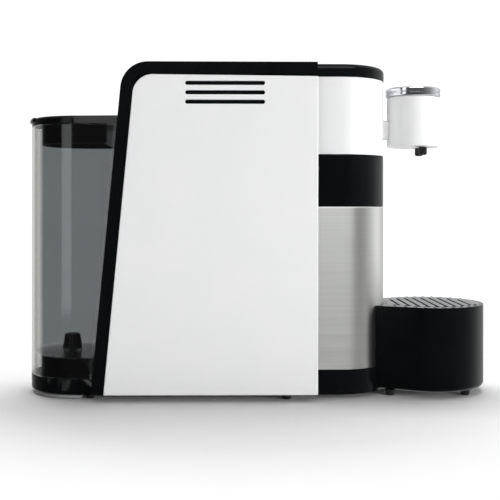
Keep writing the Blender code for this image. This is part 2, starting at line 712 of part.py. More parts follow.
def hang(piece, name, place):
    """Parents a piece to an empty on its joint's axis and keeps it where it is."""
    joint = bpy.data.objects.get(name)
    if joint is None:
        joint = bpy.data.objects.new(name, None)
        joint.location = [value * MM for value in place]
        bpy.context.scene.collection.objects.link(joint)
        bpy.context.view_layer.update()
    piece.parent = joint
    piece.matrix_parent_inverse = joint.matrix_world.inverted()


def main():
    for old in list(bpy.data.objects):
        bpy.data.objects.remove(old)
    looks = {
        "black": material("black_gloss", BLACK, 0.25),
        "white": material("white_gloss", (0.85, 0.85, 0.86), 0.2),
        "grey": material("dark_grey", (0.08, 0.08, 0.085), 0.45),
        "silver": material("brushed_silver", (0.56, 0.56, 0.57), 0.35, 1.0),
        "steel": material("steel", (0.6, 0.6, 0.6), 0.25, 1.0),
        "chrome": material("chrome", (0.8, 0.8, 0.8), 0.08, 1.0),
        "rubber": material("rubber", (0.02, 0.02, 0.02), 0.7),
        "clear": material("smoked_clear", (0.32, 0.34, 0.36), 0.05, 0.0, 0.4),
        "board": material("board", (0.02, 0.12, 0.05), 0.5),
    }
    body(looks)
    base(looks)
    column(looks)
    brewer(looks)
    gears(looks)
    cover = lever(looks)
    spout(looks)
    drawer, grate = tray(looks)
    walls, cage, stem, plate = tank(looks)
    dock(looks)
    inner_works(looks)

    objects = bpy.data.objects
    for piece in (cover, objects["lever_sector"]):
        hang(piece, "lever_hinge", (HINGE[0], 0, HINGE[1]))
    px, pz = pinion_centre()
    hang(objects["idler_pinion"], "pinion_spin", (px, 0, pz))
    for name in ("brew_rack", "brew_piston", "piston_seal"):
        hang(objects[name], "brew_slide", (PISTON_X[0], 0, BREW_Z))
    for piece in (walls, cage, objects["valve_spring"]):
        hang(piece, "tank_lift", (TANK_X, 0, TANK_Z[0]))
    hang(stem, "valve_slide", (VALVE_X, 0, TANK_FLOOR[1]))
    hang(plate, "lid_hinge", (LID_HINGE[0], 0, LID_HINGE[1]))
    for piece in drawer:
        hang(piece, "drawer_slide", (TRAY_X, 0, TRAY_Z[0]))
    hang(grate, "grate_lift", (TRAY_X, 0, GRATE_Z[0]))
    for thing in objects:
        if thing.parent is None:
            thing.location.x -= CENTRE_X * MM


main()
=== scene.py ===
"""Pod coffee machine, the looks: fine casings, brushed and plated metal, a smoky clear tank and soft studio light.

Outlines are in millimetres, in the frame's own axes: +X is the cup side, -Y faces the camera, Z = 0 is the table.
"""

import json
import math

import bmesh
import bpy
from mathutils import Matrix, Vector


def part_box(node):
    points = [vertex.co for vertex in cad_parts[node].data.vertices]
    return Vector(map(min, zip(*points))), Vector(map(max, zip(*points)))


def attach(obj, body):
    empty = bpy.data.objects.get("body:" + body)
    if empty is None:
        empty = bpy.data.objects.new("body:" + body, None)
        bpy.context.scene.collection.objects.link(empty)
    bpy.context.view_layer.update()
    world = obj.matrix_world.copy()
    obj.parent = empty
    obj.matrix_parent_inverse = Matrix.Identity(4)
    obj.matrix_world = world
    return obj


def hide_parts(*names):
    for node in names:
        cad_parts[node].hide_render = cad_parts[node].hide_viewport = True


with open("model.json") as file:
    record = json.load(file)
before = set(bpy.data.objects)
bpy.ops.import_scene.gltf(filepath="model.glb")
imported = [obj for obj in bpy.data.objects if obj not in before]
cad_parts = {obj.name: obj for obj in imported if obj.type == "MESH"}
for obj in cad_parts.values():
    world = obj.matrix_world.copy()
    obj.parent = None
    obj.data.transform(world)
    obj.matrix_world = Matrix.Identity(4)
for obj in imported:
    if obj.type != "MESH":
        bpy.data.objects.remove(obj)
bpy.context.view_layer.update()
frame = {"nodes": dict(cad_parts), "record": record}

MM = 0.001


def box(node):
    """A node's lowest and highest corners, in millimetres."""
    low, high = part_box(node)
    return Vector(low) / MM, Vector(high) / MM


# Places that come from the frame
SHELL_LOW, SHELL_HIGH = box("body_shell")
PANEL_LOW, PANEL_HIGH = box("side_panel_left")
HEAD_LOW, HEAD_HIGH = box("head_shell")
BAND_LOW, BAND_HIGH = box("head_band")
SLEEVE_LOW, SLEEVE_HIGH = box("bin_sleeve")
LEVER_LOW, LEVER_HIGH = box("lever_cover")
TRAY_LOW, TRAY_HIGH = box("tray_housing")
TANK_LOW, TANK_HIGH = box("water_tank")
LID_LOW, LID_HIGH = box("tank_lid")
DOCK_LOW, DOCK_HIGH = box("tank_dock")
SPOUT_LOW, SPOUT_HIGH = box("spout_shell")
RING_LOW, RING_HIGH = box("spout_ring")
JOINTS = {joint["name"]: joint for joint in frame["record"]["behaviour"]["joints"]}
HINGE = Vector(JOINTS["lever_hinge"]["pos_m"]) / MM

# Body
LEAN = 0.0953  # the rear line goes forward by this much per unit of height
CORNER_R = 22.0
BORDER = 10.2  # width of the black border round the side panel
PANEL_T = PANEL_HIGH.y - PANEL_LOW.y
COLUMN_R = HEAD_HIGH.y
COLUMN_X = HEAD_HIGH.x - COLUMN_R
COLUMN_BACK = HEAD_LOW.x
TRAY_R = TRAY_HIGH.y
TRAY_X = TRAY_HIGH.x - TRAY_R
TANK_R = TANK_HIGH.y
TANK_X = TANK_LOW.x + TANK_R
SPOUT_R = SPOUT_HIGH.y
SPOUT_X = SPOUT_HIGH.x - SPOUT_R
SHELL_WALL = 3.0
ROOM_HALF = 48.0  # half the width of the room inside the shell
POCKET_FLOOR = 50.7  # the side panel lies in a pocket this far from the middle
PANEL_CORNER_R = 16.0
PANEL_DIP = 1.3
VENT_MIDDLE = -26.8
VENT_REACH = 31.8
VENT_R = 1.7
VENT_Z = (253.8, 246.3, 238.8)
PIN_BORE = 2.3
HUB_R = 4.85
NOTCH_GAP = 0.4  # between the tray and the column
TRAY_CHEEK_X = 97.9
TRAY_BOTTOM = 5.0
TRAY_WALL = 2.5
GRATE_PITCH = 7.4
GRATE_SLOT_HALF = 1.2
GRATE_BORDER = 4.5
TANK_WALL = 2.2
TANK_FLOOR = (33.0, 35.0)
TANK_GAP = 2.0  # between the body and the tank's front
TANK_FRONT = -98.0  # far enough forward for every cut
PEDESTAL_INSET = 8.3
LID_SKIRT_INSET = 8.5
VALVE_LOW, VALVE_HIGH = box("tank_valve")
VALVE_X = (VALVE_LOW.x + VALVE_HIGH.x) / 2


# ---------------------------------------------------------------- outlines


def turn_angles(start, end, steps=8):
    """Angles from start to end, given in degrees and returned in radians."""
    return [math.radians(start + (end - start) * i / steps) for i in range(steps + 1)]


def arc(centre, radius, start, end, steps):
    """Points from angle start to angle end, in degrees."""
    angles = turn_angles(start, end, steps)
    return [(centre[0] + radius * math.cos(a), centre[1] + radius * math.sin(a)) for a in angles]


def rounded(corners, steps=16):
    """An outline from (x, y, radius) corners, with each corner turned into an arc."""
    points = []
    for i, (x, y, radius) in enumerate(corners):
        if radius <= 0:
            points.append((x, y))
            continue
        ax, ay, _ = corners[i - 1]
        bx, by, _ = corners[(i + 1) % len(corners)]
        a = math.atan2(ay - y, ax - x)
        b = math.atan2(by - y, bx - x)
        half = ((b - a + math.pi) % math.tau - math.pi) / 2
        reach = radius / math.sin(abs(half))
        centre = (x + reach * math.cos(a + half), y + reach * math.sin(a + half))
        turn = math.copysign(math.pi / 2 - abs(half), half)
        first = a + half + math.pi + turn
        points += arc(centre, radius, math.degrees(first), math.degrees(first - 2 * turn), steps)
    return points


def rear_x(z, inset=0.0):
    """The body's outer rear line at height z, moved forward by inset."""
    return SHELL_LOW.x + (z - SHELL_LOW.z) * LEAN + inset


def body_outline(inset, front, bottom, corner, dip=0.0):
    """The side profile; dip lowers the front end of its top edge."""
    top = SHELL_HIGH.z - inset
    return rounded(
        [
            (rear_x(bottom, inset), bottom, 0),
            (front, bottom, 0),
            (front, top - dip, 0),
            (rear_x(top, inset), top, corner),
        ]
    )


def column_plan(inset=0.0, back=COLUMN_BACK, steps=64):
    """Straight sides and a half-round front."""
    radius = COLUMN_R - inset
    front = arc((COLUMN_X, 0), radius, -90, 90, steps)
    return [(back, -radius), *front, (back, radius)]


def tank_plan(inset=0.0, front=TANK_FRONT, steps=64):
    """Straight sides and a half-round rear."""
    radius = TANK_R - inset
    return [(front, radius), *arc((TANK_X, 0), radius, 90, 270, steps), (front, -radius)]


def crescent(radius, notch, steps=96):
    """The tray's round plan with the column's front taken out of its rear."""
    distance = TRAY_X - COLUMN_X
    reach = (distance**2 + radius**2 - notch**2) / (2 * distance)
    tray_angle = math.degrees(math.acos(reach / radius))
    column_angle = math.degrees(math.acos((distance - reach) / notch))
    outer = arc((TRAY_X, 0), radius, -180 + tray_angle, 180 - tray_angle, steps)
    inner = arc((COLUMN_X, 0), notch, column_angle, -column_angle, steps // 3)
    return outer + inner[1:-1]


def tray_plan(cheek_x, steps=96):
    """The round tray with straight cheeks that run back into the column's room."""
    notch = COLUMN_R + NOTCH_GAP
    cheek_y = math.sqrt(notch**2 - (cheek_x - COLUMN_X) ** 2)
    reach = math.hypot(TRAY_X - cheek_x, cheek_y)
    toward = 180 - math.degrees(math.atan2(cheek_y, TRAY_X - cheek_x))
    tangent = toward - math.degrees(math.acos(TRAY_R / reach))
    outer = arc((TRAY_X, 0), TRAY_R, -tangent, tangent, steps)
    x, y = outer[-1]
    deep = 1 + 12 / math.hypot(x - cheek_x, y - cheek_y)
    back = (x + (cheek_x - x) * deep, y + (cheek_y - y) * deep)
    return [*outer, back, (back[0], -back[1])]


# ---------------------------------------------------------------- solids


def finish_mesh(name, bm):
    bmesh.ops.scale(bm, vec=(MM, MM, MM), verts=bm.verts)
    bmesh.ops.recalc_face_normals(bm, faces=bm.faces)
    mesh = bpy.data.meshes.new(name)
    bm.to_mesh(mesh)
    bm.free()
    mesh.shade_smooth()
    piece = bpy.data.objects.new(name, mesh)
    bpy.context.scene.collection.objects.link(piece)
    return piece


def prism(name, outline, axis, low, high):
    """An outline extruded along an axis: XZ outlines along Y, XY along Z, YZ along X."""
    place = {
        "x": lambda a, b, c: (c, a, b),
        "y": lambda a, b, c: (a, c, b),
        "z": lambda a, b, c: (a, b, c),
    }[axis]
    bm = bmesh.new()
    face = bm.faces.new([bm.verts.new(place(a, b, low)) for a, b in outline])
    rise = bmesh.ops.extrude_face_region(bm, geom=[face])
    moved = [item for item in rise["geom"] if isinstance(item, bmesh.types.BMVert)]
    bmesh.ops.translate(bm, vec=place(0.0, 0.0, high - low), verts=moved)
    return finish_mesh(name, bm)


def block(name, x, y, z):
    outline = [(x[0], y[0]), (x[1], y[0]), (x[1], y[1]), (x[0], y[1])]
    return prism(name, outline, "z", z[0], z[1])


def turned(name, profile, centre, steps=96, axis="z"):
    """A closed (radius, height) profile spun round an axis; it may start and end on the axis."""
    bm = bmesh.new()
    verts = [bm.verts.new((radius, 0.0, height)) for radius, height in profile]
    edges = [bm.edges.new((a, b)) for a, b in zip(verts, verts[1:])]
    if profile[0][0] > 0.0 or profile[-1][0] > 0.0:
        edges.append(bm.edges.new((verts[-1], verts[0])))
    bmesh.ops.spin(
        bm, geom=verts + edges, cent=(0, 0, 0), axis=(0, 0, 1), angle=math.tau, steps=steps, use_merge=True
    )
    bmesh.ops.remove_doubles(bm, verts=bm.verts, dist=0.001)
    for vert in bm.verts:
        x, y, z = vert.co
        if axis == "x":
            vert.co = (z, x, y)
        elif axis == "y":
            vert.co = (y, z, x)
    bmesh.ops.translate(bm, vec=centre, verts=bm.verts)
    piece = finish_mesh(name, bm)
    piece.data.set_sharp_from_angle(angle=math.radians(40))
    return piece


def rod(name, radius, low, high, centre, axis="z", steps=48):
    return turned(name, [(0.0, low), (radius, low), (radius, high), (0.0, high)], centre, steps, axis)


def combine(target, operation, tools):
    """Applies an exact Boolean with each tool and removes the tool."""
    for tool in tools:
        modifier = target.modifiers.new(operation.title(), "BOOLEAN")
        modifier.operation = operation
        modifier.solver = "EXACT"
        modifier.object = tool
        depsgraph = bpy.context.evaluated_depsgraph_get()
        mesh = bpy.data.meshes.new_from_object(target.evaluated_get(depsgraph))
        target.modifiers.clear()
        target.data = mesh
        bpy.data.objects.remove(tool)
    return target


def cut(target, *tools):
    return combine(target, "DIFFERENCE", tools)


def join(target, *tools):
    return combine(target, "UNION", tools)


def soften(piece, width, segments=3, angle=38):
    """Rounds every sharp edge, as a mould does."""
    bevel = piece.modifiers.new("Rounding", "BEVEL")
    bevel.width = width * MM
    bevel.segments = segments
    bevel.limit_method = "ANGLE"
    bevel.angle_limit = math.radians(angle)
    bevel.miter_outer = "MITER_ARC"
    return even_faces(piece)


def even_faces(piece):
    """Keeps the big flat faces flat in the shading, beside their rounded edges."""
    weighted = piece.modifiers.new("Flat faces", "WEIGHTED_NORMAL")
    weighted.mode = "FACE_AREA"
    weighted.weight = 90
    weighted.keep_sharp = True
    piece.data.shade_smooth()
    return piece


def dress(piece, body, slot, look, *nodes):
    """Puts a fine piece in the place of its CAD nodes."""
    piece.data.materials.clear()
    piece.data.materials.append(look)
    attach(piece, body)
    if nodes:
        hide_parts(*nodes)
    return piece


# ---------------------------------------------------------------- materials


class Look:
    """A node material built from a Principled shader."""

    def __init__(self, name, colour, roughness, **sockets):
        self.material = bpy.data.materials.new(name)
        self.material.use_nodes = True
        self.nodes = self.material.node_tree.nodes
        self.links = self.material.node_tree.links
        self.shader = self.nodes["Principled BSDF"]
        self.coordinates = self.nodes.new("ShaderNodeTexCoord")
        self.set("Base Color", (*colour, 1.0))
        self.set("Roughness", roughness)
        for socket, value in sockets.items():
            self.set(socket.replace("_", " "), value)

    def set(self, socket, value):
        self.shader.inputs[socket].default_value = value

    def noise(self, scale, detail=3.0, stretch=(1, 1, 1), rough=0.5):
        """Noise in the object's own coordinates; scale is in waves per metre."""
        mapping = self.nodes.new("ShaderNodeMapping")
        mapping.inputs["Scale"].default_value = stretch
        noise = self.nodes.new("ShaderNodeTexNoise")
        noise.inputs["Scale"].default_value = scale
        noise.inputs["Detail"].default_value = detail
        noise.inputs["Roughness"].default_value = rough
        self.links.new(self.coordinates.outputs["Object"], mapping.inputs["Vector"])
        self.links.new(mapping.outputs["Vector"], noise.inputs["Vector"])
        return noise.outputs["Fac"]

    def ramp(self, value, low, high, start=0.3, end=0.7):
        """Maps a value from start..end to low..high, which are numbers or colours."""
        span = self.nodes.new("ShaderNodeMapRange")
        span.inputs["From Min"].default_value = start
        span.inputs["From Max"].default_value = end
        self.links.new(value, span.inputs["Value"])
        if isinstance(low, (int, float)):
            span.inputs["To Min"].default_value = low
            span.inputs["To Max"].default_value = high
            return span.outputs["Result"]
        mix = self.nodes.new("ShaderNodeMix")
        mix.data_type = "RGBA"
        mix.inputs[6].default_value = (*low, 1.0)
        mix.inputs[7].default_value = (*high, 1.0)
        self.links.new(span.outputs["Result"], mix.inputs[0])
        return mix.outputs[2]

    def drive(self, socket, output):
        self.links.new(output, self.shader.inputs[socket])

    def bump(self, height, strength, distance):
        bump = self.nodes.new("ShaderNodeBump")
        bump.inputs["Strength"].default_value = strength
        bump.inputs["Distance"].default_value = distance * MM
        self.links.new(height, bump.inputs["Height"])
        self.links.new(bump.outputs["Normal"], self.shader.inputs["Normal"])


def gloss_plastic(name, dark, light, roughness, specular=0.5, coat=0.0):
    """Polished moulded plastic: faint flow marks in the colour, and smears in the shine."""
    look = Look(name, dark, roughness, Specular_IOR_Level=specular, Coat_Weight=coat, Coat_Roughness=0.06)
    look.drive("Base Color", look.ramp(look.noise(22, 4), dark, light))
    look.drive("Roughness", look.ramp(look.noise(60, 5), roughness * 0.85, roughness * 1.2))
    look.bump(look.noise(900, 2), 0.05, 0.02)
    return look.material


def satin_plastic(name, dark, light, roughness, grain=2600):
    """Fine-grained moulded plastic."""
    look = Look(name, dark, roughness, Specular_IOR_Level=0.4)
    look.drive("Base Color", look.ramp(look.noise(40, 4), dark, light))
    look.drive("Roughness", look.ramp(look.noise(90, 4), roughness * 0.9, roughness * 1.1))
    look.bump(look.noise(grain, 3), 0.25, 0.04)
    return look.material


def brushed_metal(name, dark, light, roughness, stretch, strength=0.1, anisotropic=0.0, turn=0.0):
    """Metal with fine scratches; stretch squeezes the noise across the grain."""
    look = Look(name, dark, roughness, Metallic=1.0, Anisotropic=anisotropic, Anisotropic_Rotation=turn)
    grain = look.noise(30, 6, stretch, 0.65)
    look.drive("Base Color", look.ramp(grain, dark, light))
    look.drive("Roughness", look.ramp(grain, roughness * 0.85, roughness * 1.15))
    look.bump(grain, strength, 0.02)
    return look.material


def plated(name, colour, roughness):
    look = Look(name, colour, roughness, Metallic=1.0)
    look.drive("Roughness", look.ramp(look.noise(120, 4), roughness * 0.7, roughness * 1.6))
    return look.material


def rubber(name):
    look = Look(name, (0.012, 0.012, 0.012), 0.75, Specular_IOR_Level=0.3)
    look.drive("Base Color", look.ramp(look.noise(80, 4), (0.010, 0.010, 0.010), (0.020, 0.020, 0.021)))
    look.bump(look.noise(1800, 3), 0.3, 0.05)
    return look.material


def smoked_clear(name, tint, edge):
    """Thin smoky plastic: a darker view of what is behind, and shinier where it is seen edge-on, where a painted
    reflection also lightens the see-through tint.
    """
    made = bpy.data.materials.new(name)
    made.use_nodes = True
    nodes, links = made.node_tree.nodes, made.node_tree.links
    nodes.clear()

    def scaled(value, start, end, low, high):
        span = nodes.new("ShaderNodeMapRange")
        span.interpolation_type = "SMOOTHSTEP"
        for socket, number in (("From Min", start), ("From Max", end), ("To Min", low), ("To Max", high)):
            span.inputs[socket].default_value = number
        links.new(value, span.inputs["Value"])
        return span.outputs["Result"]

    def mixed(share, first, second):
        mix = nodes.new("ShaderNodeMix")
        mix.data_type = "RGBA"
        links.new(share, mix.inputs[0])
        for socket, colour in ((6, first), (7, second)):
            if isinstance(colour, tuple):
                mix.inputs[socket].default_value = (*colour, 1.0)
            else:
                links.new(colour, mix.inputs[socket])
        return mix.outputs[2]

    coordinates = nodes.new("ShaderNodeTexCoord")
    noise = nodes.new("ShaderNodeTexNoise")
    noise.inputs["Scale"].default_value = 14
    links.new(coordinates.outputs["Object"], noise.inputs["Vector"])
    facing = nodes.new("ShaderNodeLayerWeight")
    facing.inputs["Blend"].default_value = 0.5
    edge_on = facing.outputs["Facing"]
    dark = tuple(value * 0.98 for value in tint)
    light = tuple(value * 1.02 for value in tint)
    clear = nodes.new("ShaderNodeBsdfTransparent")
    smoke = mixed(noise.outputs["Fac"], dark, light)
    # Painted reflection: where the wall is seen edge-on, the see-through tint turns to the light edge colour in
    # place of the bright room reflected there. The real gloss is mixed in below.
    links.new(mixed(scaled(edge_on, 0.42, 0.5, 0, 1), smoke, edge), clear.inputs["Color"])
    gloss = nodes.new("ShaderNodeBsdfGlossy")
    gloss.inputs["Color"].default_value = (1, 1, 1, 1)
    gloss.inputs["Roughness"].default_value = 0.09
    mix = nodes.new("ShaderNodeMixShader")
    links.new(scaled(edge_on, 0.35, 1.0, 0.035, 0.6), mix.inputs["Fac"])
    links.new(clear.outputs["BSDF"], mix.inputs[1])
    links.new(gloss.outputs["BSDF"], mix.inputs[2])
    out = nodes.new("ShaderNodeOutputMaterial")
    links.new(mix.outputs["Shader"], out.inputs["Surface"])
    return made


def circuit_board(name):
    look = Look(name, (0.01, 0.08, 0.03), 0.45)
    look.drive("Base Color", look.ramp(look.noise(260, 2), (0.008, 0.06, 0.025), (0.02, 0.13, 0.05)))
    look.bump(look.noise(400, 2), 0.3, 0.1)
    return look.material


LOOKS = {
    "black_gloss": gloss_plastic("black_gloss", (0.0022, 0.0028, 0.0032), (0.0034, 0.0042, 0.0048), 0.18, 0.16),
    "black_satin": satin_plastic("black_satin", (0.008, 0.008, 0.009), (0.013, 0.013, 0.014), 0.42),
    "white_gloss": gloss_plastic("white_gloss", (0.86, 0.865, 0.87), (0.885, 0.885, 0.885), 0.22, 0.5, 0.25),
    "grey_plastic": satin_plastic("grey_plastic", (0.30, 0.30, 0.31), (0.36, 0.36, 0.37), 0.45),
    "gear_plastic": satin_plastic("gear_plastic", (0.68, 0.67, 0.62), (0.76, 0.75, 0.71), 0.38),
    "brushed_silver": brushed_metal(
        "brushed_silver", (0.79, 0.805, 0.78), (0.88, 0.89, 0.87), 0.42, (0.3, 0.3, 70), 0.06, 0.8, 0.25
    ),
    "grate_steel": brushed_metal("grate_steel", (0.34, 0.35, 0.36), (0.48, 0.48, 0.49), 0.36, (12, 0.5, 1), 0.1),
    "steel": brushed_metal("steel", (0.45, 0.45, 0.46), (0.60, 0.60, 0.60), 0.32, (1, 10, 10), 0.1),
    "alloy": brushed_metal("alloy", (0.50, 0.51, 0.52), (0.62, 0.62, 0.62), 0.5, (6, 6, 6), 0.5),
    "chrome": plated("chrome", (0.72, 0.73, 0.75), 0.10),
    "rubber": rubber("rubber"),
    # The last colour is a painted reflection: the light tint the tank's walls take where they are seen edge-on.
    "smoked_clear": smoked_clear("smoked_clear", (0.61, 0.622, 0.625), (0.88, 0.88, 0.87)),
    "board": circuit_board("board"),
    "button_grey": satin_plastic("button_grey", (0.22, 0.22, 0.23), (0.27, 0.27, 0.28), 0.35),
}


# ---------------------------------------------------------------- camera, floor and light


def camera():
    data = bpy.data.cameras.new("camera")
    data.sensor_width = 36.0
    data.lens = 62.57
    data.shift_y = -0.0856
    data.clip_start = 0.05
    data.clip_end = 20.0
    piece = bpy.data.objects.new("camera", data)
    piece.location = (-0.0163, -0.7443, 0.1550)
    piece.rotation_euler = (math.radians(90), math.radians(-0.052), math.radians(-0.776))
    bpy.context.scene.collection.objects.link(piece)
    bpy.context.scene.camera = piece


def area_light(name, place, size, power, target=(0.0, 0.0, 0.12), glossy=True, diffuse=True):
    data = bpy.data.lights.new(name, "AREA")
    data.shape = "RECTANGLE"
    data.size, data.size_y = size
    data.energy = power
    lamp = bpy.data.objects.new(name, data)
    lamp.location = place
    lamp.rotation_euler = (Vector(target) - Vector(place)).to_track_quat("-Z", "Y").to_euler()
    lamp.visible_camera = False
    lamp.visible_glossy = glossy
    lamp.visible_diffuse = diffuse
    bpy.context.scene.collection.objects.link(lamp)


def floor():
    """A pale floor with the object's soft shadow, which turns to plain white further out."""
    bm = bmesh.new()
    bm.faces.new([bm.verts.new((x, y, 0.0)) for x, y in ((-6, -6), (6, -6), (6, 6), (-6, 6))])
    mesh = bpy.data.meshes.new("floor")
    bm.to_mesh(mesh)
    bm.free()
    sheet = bpy.data.objects.new("floor", mesh)
    sheet.visible_glossy = False
    bpy.context.scene.collection.objects.link(sheet)
    look = Look("floor_paper", (0.83, 0.83, 0.83), 0.7, Specular_IOR_Level=0.1)
    look.bump(look.noise(700, 3), 0.05, 0.1)
    mapping = look.nodes.new("ShaderNodeMapping")
    mapping.inputs["Scale"].default_value = (1 / FLOOR_REACH[0], 1 / FLOOR_REACH[1], 1)
    distance = look.nodes.new("ShaderNodeVectorMath")
    distance.operation = "LENGTH"
    look.links.new(look.coordinates.outputs["Object"], mapping.inputs["Vector"])
    look.links.new(mapping.outputs["Vector"], distance.inputs[0])
    rays = look.nodes.new("ShaderNodeLightPath")
    share = look.nodes.new("ShaderNodeMath")
    share.operation = "MULTIPLY"
    look.links.new(look.ramp(distance.outputs["Value"], 0.0, 1.0, 0.5, 1.0), share.inputs[0])
    look.links.new(rays.outputs["Is Camera Ray"], share.inputs[1])
    white = look.nodes.new("ShaderNodeEmission")
    white.inputs["Strength"].default_value = 1.1
    mix = look.nodes.new("ShaderNodeMixShader")
    look.links.new(share.outputs["Value"], mix.inputs["Fac"])
    look.links.new(look.shader.outputs["BSDF"], mix.inputs[1])
    look.links.new(white.outputs["Emission"], mix.inputs[2])
    look.links.new(mix.outputs["Shader"], look.nodes["Material Output"].inputs["Surface"])
    mesh.materials.append(look.material)


FLOOR_REACH = (0.42, 0.36)  # half-axes, along X and Y, of the oval beyond which the floor is plain white

# How bright the room is round the horizon, as reflections see it: degrees from the front toward the cup side
ROOM = (
    (-180, 0.80),
    (-150, 0.60),
    (-115, 0.12),
    (-46, 0.06),
    (30, 0.10),
    (66, 0.30),
    (86, 0.60),
    (112, 1.00),
    (140, 0.60),
    (179, 0.80),
)


def room():
    """Plain white to the camera, dim and even as light, and a ring of bright and dark flats to reflections."""
    world = bpy.data.worlds.new("studio")
    world.use_nodes = True
    nodes, links = world.node_tree.nodes, world.node_tree.links

    def background(strength, name):
        shade = nodes.new("ShaderNodeBackground")
        shade.name = name
        shade.inputs["Color"].default_value = (1, 1, 1, 1)
        shade.inputs["Strength"].default_value = strength
        return shade

    direction = nodes.new("ShaderNodeTexCoord").outputs["Generated"]
    turn = nodes.new("ShaderNodeTexGradient")
    turn.gradient_type = "RADIAL"
    links.new(direction, turn.inputs["Vector"])
    ramp = nodes.new("ShaderNodeValToRGB")
    stops = sorted(((degrees / 360 + 0.25) % 1.0, level) for degrees, level in ROOM)
    for place, level in stops:
        stop = ramp.color_ramp.elements.new(place)
        stop.color = (level, level, level, 1)
    ramp.color_ramp.elements.remove(ramp.color_ramp.elements[0])
    ramp.color_ramp.elements.remove(ramp.color_ramp.elements[-1])
    links.new(turn.outputs["Fac"], ramp.inputs["Fac"])

    height = nodes.new("ShaderNodeSeparateXYZ")
    links.new(direction, height.inputs["Vector"])
    rise = nodes.new("ShaderNodeMapRange")
    rise.inputs["From Min"].default_value = 0.45
    rise.inputs["From Max"].default_value = 0.8
    links.new(height.outputs["Z"], rise.inputs["Value"])
    ceiling = nodes.new("ShaderNodeMix")
    ceiling.data_type = "RGBA"
    ceiling.inputs[7].default_value = (0.8, 0.8, 0.8, 1)
    links.new(rise.outputs["Result"], ceiling.inputs[0])
    links.new(ramp.outputs["Color"], ceiling.inputs[6])

    seen = background(1.1, "seen")
    mirrored = background(1.0, "mirrored")
    links.new(ceiling.outputs[2], mirrored.inputs["Color"])
    even = background(0.27, "even")
    rays = nodes.new("ShaderNodeLightPath")
    first = nodes.new("ShaderNodeMixShader")
    links.new(rays.outputs["Is Glossy Ray"], first.inputs["Fac"])
    links.new(even.outputs["Background"], first.inputs[1])
    links.new(mirrored.outputs["Background"], first.inputs[2])
    second = nodes.new("ShaderNodeMixShader")
    links.new(rays.outputs["Is Camera Ray"], second.inputs["Fac"])
    links.new(first.outputs["Shader"], second.inputs[1])
    links.new(seen.outputs["Background"], second.inputs[2])
    links.new(second.outputs["Shader"], nodes["World Output"].inputs["Surface"])
    bpy.context.scene.world = world


def studio():
    bpy.context.scene.view_settings.view_transform = "Standard"
    floor()
    room()
    area_light("front_box", (0.3, -1.6, 1.35), (2.0, 0.9), 22, diffuse=False)
    area_light("tank_strip", (-0.395, -0.48, 0.41), (0.2, 0.8), 0.7, target=(-0.16, -0.04, 0.41), diffuse=False)
    area_light("fill_box", (2.2, -1.75, 0.38), (1.8, 0.6), 60, glossy=False)
    area_light("top_box", (0.0, 0.65, 1.6), (2.0, 1.4), 36, glossy=False)
    area_light("side_box", (1.6, 0.4, 0.5), (1.0, 1.0), 8, glossy=False)


# ---------------------------------------------------------------- casings


def body():
    ceiling = LEVER_LOW.z - 3.5
    shell = prism(
        "body_casing", body_outline(0, SHELL_HIGH.x, SHELL_LOW.z, CORNER_R), "y", SHELL_LOW.y, SHELL_HIGH.y
    )
    inside = rounded(
        [
            (rear_x(-10, SHELL_WALL), -10, 0),
            (90, -10, 0),
            (90, ceiling, 0),
            (rear_x(ceiling, SHELL_WALL), ceiling, 14),
        ]
    )
    cavity = prism("cavity", inside, "y", -ROOM_HALF, ROOM_HALF)
    recess = body_outline(BORDER - 0.4, 90, -10, CORNER_R - BORDER)
    pockets = [prism("pocket", recess, "y", side * POCKET_FLOOR, side * 60) for side in (-1, 1)]
    swing = LEVER_HIGH.z - HINGE.z + 0.5
    bed = block("bed", (HINGE.x - swing, 90), (-40.8, 40.8), (LEVER_LOW.z - 0.5, 290))
    slot = block("slot", (HINGE.x - 14, HINGE.x + 32), (-5, 5), (250, 262))
    bore = rod("bore", PIN_BORE, -46.5, 46.5, (HINGE.x, 0, HINGE.z), axis="y")
    hose_way = block("hose_way", (-147, -121), (-6, 6), (16, 30))
    tongue_way = block("tongue_way", (-147, -121), (-30.6, 30.6), (0, 7.4))
    cut(shell, cavity, *pockets, bed, slot, bore, hose_way, tongue_way)
    soften(shell, 0.7)
    dress(shell, "housing", "black_gloss", LOOKS["black_gloss"], "body_shell")

    vent_rear = VENT_MIDDLE - VENT_REACH + VENT_R
    vent_front = VENT_MIDDLE + VENT_REACH - VENT_R
    for node, side in (("side_panel_left", -1), ("side_panel_right", 1)):
        low, high = panel_span(side)
        outline = body_outline(BORDER, PANEL_HIGH.x, PANEL_LOW.z, PANEL_CORNER_R, PANEL_DIP)
        panel = prism(f"{node}_skin", outline, "y", low, high)
        soften(panel, 0.7)
        for z in VENT_Z:
            slot = arc((vent_front, z), VENT_R, -90, 90, 12) + arc((vent_rear, z), VENT_R, 90, 270, 12)
            cut(panel, prism("vent", slot, "y", low - 2, high + 2))
        panel.data.set_sharp_from_angle(angle=math.radians(50))
        even_faces(panel)
        dress(panel, "housing", "white_gloss", LOOKS["white_gloss"], node)


def panel_span(side):
    """The low and high Y of the side panel on that side."""
    outer = -PANEL_LOW.y
    inner = outer - PANEL_T
    return (-outer, -inner) if side < 0 else (inner, outer)


